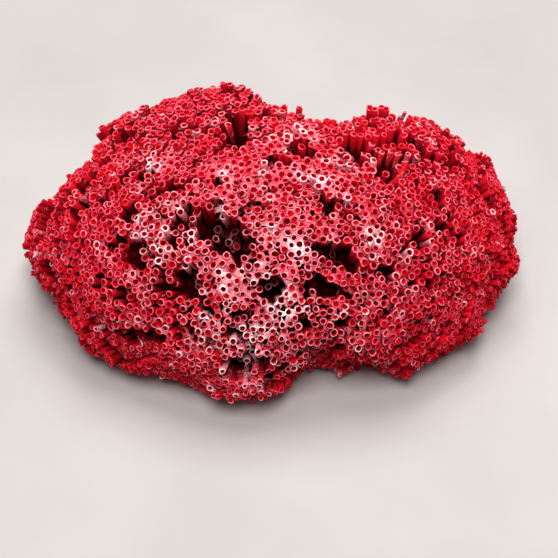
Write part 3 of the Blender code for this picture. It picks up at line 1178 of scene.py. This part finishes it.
class CORAL_OT_pipes(bpy.types.Operator):
    """Grows the pipes of each quarter of the colony, and those that show on the cut under it"""

    bl_idname = "coral.pipes"
    bl_label = "Pipes"

    def execute(self, context):
        settings, colours = context.scene.coral_pipes, context.scene.coral_colours
        pipes = pipe_layout()
        template = pipe_template(settings)
        tree = pipes_tree()
        material = coral_material("coral_pipes", True, colours)
        quarters = {
            "pipes_right_back": (0, 90), "pipes_left_back": (90, 181),
            "pipes_left_front": (-181, -95), "pipes_right_front": (-95, 0)}
        for name, (start, stop) in quarters.items():
            chosen = (pipes.azimuth >= start) & (pipes.azimuth < stop)
            dress(grow_pipes(name, pipes, chosen, template, tree, settings, material))
        stubs = stub_layout()
        everyone = np.ones(len(stubs.tips), bool)
        dress(grow_pipes("cut_pipes", stubs, everyone, template, tree, settings, material))
        bpy.data.objects.remove(template)
        return {"FINISHED"}


def floor_triangles(pipes, spread):
    """Triangles between points on the pipes' walls; the pipes' flat places are this many times smaller."""
    flat_share = 0.8
    turns = np.arange(RING_POINTS) * 2 * math.pi / RING_POINTS
    ring = np.stack([np.cos(turns), np.sin(turns)], axis=1)
    flat = pipes.flat[:, None] + ring[None] * (flat_share * pipes.radius / spread)[:, None, None]
    found = delaunay_2d_cdt([Vector(p) for p in flat.reshape(-1, 2)], [], [], 0, 1e-9)
    index = np.array([origins[0] if origins else -1 for origins in found[3]])
    triangles = index[np.array([f for f in found[2] if len(f) == 3])]
    return triangles[(triangles >= 0).all(1)]


def slab(name, top, bottom, triangles, values):
    """A closed sheet between two layers of points."""
    count = len(top)
    sides = np.concatenate([triangles[:, [0, 1]], triangles[:, [1, 2]], triangles[:, [2, 0]]])
    keys = np.sort(sides, axis=1) @ np.array([count, 1])
    _, first, uses = np.unique(keys, return_index=True, return_counts=True)
    rim = sides[first[uses == 1]]
    lip = np.zeros(count)
    lip[rim] = 1.0
    values = {**values, "lip": lip}
    faces = triangles.tolist() + (triangles[:, ::-1] + count).tolist()
    faces += np.stack([rim[:, 1], rim[:, 0], rim[:, 0] + count, rim[:, 1] + count], axis=1).tolist()
    mesh = bpy.data.meshes.new(name)
    mesh.from_pydata((np.concatenate([top, bottom]) * MM).tolist(), [], faces)
    write_values(mesh, {key: np.concatenate([numbers] * 2) for key, numbers in values.items()})
    mesh.shade_smooth()
    mesh.set_sharp_from_angle(angle=math.radians(40))
    return mesh


def floor_mesh(name, pipes, triangles, level, closed, settings):
    """A floor between the pipes, each at its own level below its rim, open where closed isn't above 0.

    At a step the floor lies at the lower pipe's level, right up to the higher ones' walls."""
    owner, turn = np.divmod(triangles, RING_POINTS)
    height = pipes.height - level
    lowest = owner[np.arange(len(owner)), height[owner].argmin(axis=1)]
    drop = height[owner] - height[lowest][:, None]
    stepped = drop > settings.step / MM
    down = level[owner] + np.where(stepped, drop, 0)
    centre = pipes.tips[owner] - pipes.axes[owner] * down[:, :, None]
    keep = (down + LEAST_FOOT < pipes.length[owner]).all(1) & (np.ptp(owner, axis=1) > 0)
    for a, b in ((0, 1), (1, 2), (2, 0)):
        keep &= np.linalg.norm(centre[:, a] - centre[:, b], axis=1) < settings.span / MM
    middle = centre.mean(axis=1)
    keep &= closed(middle, owner) > 0
    keep &= (drop.max(axis=1) < settings.ledge / MM) | (soft_noise(middle, 2.6, 77.0) < 0)

    keys = (triangles * (len(pipes.tips) + 1) + np.where(stepped, lowest[:, None] + 1, 0))[keep]
    _, first, compact = np.unique(keys, return_index=True, return_inverse=True)
    owner, turn, down = owner[keep].ravel()[first], turn[keep].ravel()[first], down[keep].ravel()[first]
    angle = turn * 2 * math.pi / RING_POINTS
    upward = np.cross(pipes.axes, pipes.across)
    out = pipes.across[owner] * np.cos(angle)[:, None] + upward[owner] * np.sin(angle)[:, None]
    out *= (RING_SHARE * pipes.radius[owner] * (1 - PIPE_TAPER * down / pipes.length[owner]))[:, None]
    top = pipes.tips[owner] - pipes.axes[owner] * down[:, None] + out
    thick = settings.thickness / MM * (1 + 0.25 * soft_noise(top, 5, 2.0))
    bottom = top - pipes.axes[owner] * thick[:, None]
    for layer, lowest_place in zip((bottom, top), LOWEST_FLOOR):
        layer[:, 2] = np.maximum(layer[:, 2], lowest_place)
    # sunk and deep drive the floors' painted shade lower down
    values = {
        "pale": pipes.pale[owner], "tone": pipes.tone[owner], "sunk": np.clip(down / 1.3, 0, 1),
        "deep": np.clip((pipes.buried[owner] + down) / DARK_DEPTH, 0, 1)}
    return slab(name, top, bottom, compact.reshape(-1, 3), values)


class CORAL_OT_floors(bpy.types.Operator):
    """Lays the floors that join the pipes, one storey under another, and the one on the cut"""

    bl_idname = "coral.floors"
    bl_label = "Floors"

    def execute(self, context):
        settings = context.scene.coral_floors
        material = coral_material("coral_floors", False, context.scene.coral_colours)
        pipes = pipe_layout()
        # A flat place on the dome, seen from opposite its top, is this much smaller than on its outside
        spread = reach(pipes.ways) * (1 + pipes.ways[:, 2])
        triangles = floor_triangles(pipes, spread)
        near_gap = missing(pipes.ways, wider=5.0, gaps=GAPS) > 0
        open_share = soft_patch(pipes.ways, *OPEN_FRONT) + np.clip(pipes.buried - 5, 0, 6) / 6

        def lay_piece(name, layout, triangles, level, closed):
            mesh = floor_mesh(name, layout, triangles, level, closed, settings)
            mesh.materials.append(material)
            dress(new_piece(name, mesh))

        def upper(places, owner):
            dappled = soft_noise(places, 1.9, 20.0) + 0.35 * soft_noise(places, 10, 31.0)
            return dappled + 0.42 - 0.30 * open_share[owner].mean(axis=1)

        def lower(places, owner):
            seen = near_gap[owner].any(1) | (upper(places, owner) < 0.25)
            return np.where(seen, soft_noise(places, 4.5, 35.0) + 0.15, -1)

        def on_the_cut(places, owner):
            return soft_noise(places, 3.0, 55.0) + 0.3

        leftward = pipes.tips[triangles // RING_POINTS, 0].mean(axis=1) < HEART[0]
        everywhere = np.ones(len(triangles), bool)
        for name, storey, chosen in (
                ("upper_floor_left", 0, leftward), ("upper_floor_right", 0, ~leftward),
                ("second_floor", 1, everywhere), ("third_floor", 2, everywhere)):
            storey_height = settings.storey / MM + 0.9 * soft_noise(pipes.tips, 12, 5.0 * storey)
            level = pipes.stand + storey * storey_height
            lay_piece(name, pipes, triangles[chosen], level, lower if storey else upper)
        stubs = stub_layout()
        triangles = floor_triangles(stubs, np.ones(len(stubs.tips)))
        lay_piece("cut_floor", stubs, triangles, stubs.stand, on_the_cut)
        return {"FINISHED"}


def curve_through(places, count):
    """Places evenly along a smooth curve that passes near the given ones, in order."""
    given = np.linspace(0, 1, len(places))
    wanted = np.linspace(0, 1, count)
    return np.stack([np.polyval(np.polyfit(given, axis, 3), wanted) for axis in np.array(places).T], axis=1)


class CORAL_OT_bent_pipe(bpy.types.Operator):
    """Bends a single pipe up out of its well"""

    bl_idname = "coral.bent_pipe"
    bl_label = "Bent pipe"

    def execute(self, context):
        sides = BENT_PIPE_SIDES
        radius = BENT_PIPE_WIDTH / 2
        hole = context.scene.coral_pipes.hole_share * radius
        centres = curve_through(BENT_PIPE, 10)
        down = np.concatenate([[0.0], np.cumsum(np.linalg.norm(np.diff(centres, axis=0), axis=1))])
        axes = unit(-np.gradient(centres, axis=0))
        # Up the wall, over the rim and down the hole: centre, axis, radius, how far below the rim and inside
        rings = [(centres[k], axes[k], radius * (1 - 0.1 * (k % 2)), down[k], 0.0) for k in range(9, -1, -1)]
        rings += [
            (centres[0] + 0.12 * axes[0], axes[0], hole, 0.0, 0.0),
            (centres[0] - 0.5 * axes[0], axes[0], 0.93 * hole, 0.5, 0.5),
            (centres[1], axes[1], 0.8 * hole, 1.6, 1.6)]
        turns = np.arange(sides) * 2 * math.pi / sides
        # deep sets how far the painted shade darkens each ring
        points, values = [], {"below": [], "inside": [], "deep": []}
        for centre, axis, width, below, inside in rings:
            across = unit(np.cross(axis, (0.6, -0.8, 0.0)))
            upward = np.cross(axis, across)
            for turn in turns:
                points.append(centre + width * (across * math.cos(turn) + upward * math.sin(turn)))
            for key, value in (("below", below), ("inside", inside), ("deep", (0.5 + below) / DARK_DEPTH)):
                values[key] += [value] * sides
        values["tone"] = [BENT_PIPE_TONE] * len(points)
        values["pale"] = [BENT_PIPE_PALE] * len(points)
        mesh = bpy.data.meshes.new("bent_pipe")
        mesh.from_pydata((np.array(points) * MM).tolist(), [], tube_faces(len(rings), sides))
        write_values(mesh, values)
        mesh.shade_smooth()
        mesh.materials.append(bpy.data.materials["coral_pipes"])
        dress(new_piece("bent_pipe", mesh))
        return {"FINISHED"}


class CORAL_OT_old_skeleton(bpy.types.Operator):
    """Fills the colony below its clefts with the old, dense skeleton"""

    bl_idname = "coral.old_skeleton"
    bl_label = "Old skeleton"

    def execute(self, context):
        bpy.ops.mesh.primitive_ico_sphere_add(subdivisions=6, radius=1.0)
        ball = context.object
        mesh = ball.data
        points = np.empty(len(mesh.vertices) * 3)
        mesh.vertices.foreach_get("co", points)
        ways = unit(points.reshape(-1, 3))
        points = HEART + ways * core_reach(ways)[:, None]
        points[:, 2] = np.maximum(points[:, 2], CORE_HEIGHT)
        mesh.vertices.foreach_set("co", (points * MM).ravel())
        mesh.shade_smooth()
        mesh.materials.append(deep_material(context.scene.coral_colours))
        mesh.name = "old_skeleton"
        bpy.data.objects.remove(ball)
        dress(new_piece("old_skeleton", mesh))
        return {"FINISHED"}


class CORAL_OT_stage(bpy.types.Operator):
    """Lays the pale floor and sets the light and the camera"""

    bl_idname = "coral.stage"
    bl_label = "Stage"

    def execute(self, context):
        settings = context.scene.coral_stage
        self.lay_floor(settings)
        self.set_light(context.scene)
        self.set_camera(context.scene, settings)
        return {"FINISHED"}

    def lay_floor(self, settings):
        """Lays the floor, with soft clouds of a slightly darker tint."""
        bpy.ops.mesh.primitive_plane_add(size=STAGE_WIDTH)
        floor = bpy.context.object
        floor.name = "stage_floor"
        material = bpy.data.materials.new("stage_floor")
        material.use_nodes = True
        tree = material.node_tree
        shader = tree.nodes["Principled BSDF"]
        coords = add(tree, "ShaderNodeTexCoord").outputs["Object"]
        clouds = add(tree, "ShaderNodeTexNoise", {"Vector": coords, "Scale": 14.0, "Detail": 6.0})
        ramp = add(tree, "ShaderNodeValToRGB", {"Fac": clouds.outputs["Fac"]})
        dark, light = ramp.color_ramp.elements
        dark.position, dark.color = 0.3, (*brightened(settings.floor, 0.88), 1)
        light.position, light.color = 0.65, (*settings.floor, 1)
        tree.links.new(ramp.outputs["Color"], shader.inputs["Base Color"])
        shader.inputs["Roughness"].default_value = 0.7
        floor.data.materials.append(material)

    def set_light(self, scene):
        """Sets the room's own light and the soft lights above, which all face the colony."""
        world = bpy.data.worlds.new("soft_room")
        world.use_nodes = True
        background = world.node_tree.nodes["Background"]
        background.inputs["Color"].default_value, background.inputs["Strength"].default_value = ROOM_LIGHT
        scene.world = world
        scene.view_settings.view_transform = "Standard"
        for name, place, size, power in LIGHTS:
            data = bpy.data.lights.new(name, "AREA")
            data.size = size
            data.energy = power
            light = bpy.data.objects.new(name, data)
            light.location = place
            light.rotation_euler = (-Vector(place)).to_track_quat("-Z", "Y").to_euler()
            scene.collection.objects.link(light)

    def set_camera(self, scene, settings):
        """Sets the camera in front of the colony and above it."""
        data = bpy.data.cameras.new("camera")
        camera = bpy.data.objects.new("camera", data)
        scene.collection.objects.link(camera)
        target = Vector((HEART[0] + CAMERA_RIGHT, HEART[1], 0)) * MM
        back = Vector((0, -math.cos(settings.elevation), math.sin(settings.elevation)))
        camera.location = target + back * settings.distance
        camera.rotation_euler = back.to_track_quat("Z", "Y").to_euler()
        data.sensor_width = SENSOR_WIDTH
        data.lens = SENSOR_WIDTH * settings.distance / (settings.pixel * IMAGE_WIDTH)
        data.clip_start = 0.01
        scene.camera = camera


class CORAL_PT_panel(bpy.types.Panel):
    """Lists the coral's sizes and colours, and the steps that make it"""

    bl_idname = "CORAL_PT_panel"
    bl_label = "Organ Pipe Coral"
    bl_space_type = "VIEW_3D"
    bl_region_type = "UI"
    bl_category = "Coral"

    def draw(self, context):
        for group in ("coral_pipes", "coral_floors", "coral_colours", "coral_stage"):
            settings = getattr(context.scene, group)
            box = self.layout.box()
            for name in settings.bl_rna.properties.keys():
                if name not in ("rna_type", "name"):
                    box.prop(settings, name)
        for step in STEPS:
            self.layout.operator(step.bl_idname)


STEPS = (CORAL_OT_pipes, CORAL_OT_bent_pipe, CORAL_OT_floors, CORAL_OT_old_skeleton, CORAL_OT_stage)
SETTINGS = {
    "coral_pipes": CoralPipeSettings,
    "coral_floors": CoralFloorSettings,
    "coral_colours": CoralColourSettings,
    "coral_stage": CoralStageSettings,
}


def register():
    for cls in (*SETTINGS.values(), *STEPS, CORAL_PT_panel):
        bpy.utils.register_class(cls)
    for name, cls in SETTINGS.items():
        setattr(bpy.types.Scene, name, PointerProperty(type=cls))


def unregister():
    for name in SETTINGS:
        delattr(bpy.types.Scene, name)
    for cls in (CORAL_PT_panel, *reversed(STEPS), *reversed(SETTINGS.values())):
        bpy.utils.unregister_class(cls)


def main():
    register()
    bpy.ops.coral.pipes()
    bpy.ops.coral.bent_pipe()
    bpy.ops.coral.floors()
    bpy.ops.coral.old_skeleton()
    bpy.ops.coral.stage()


if __name__ == "__main__":
    main()
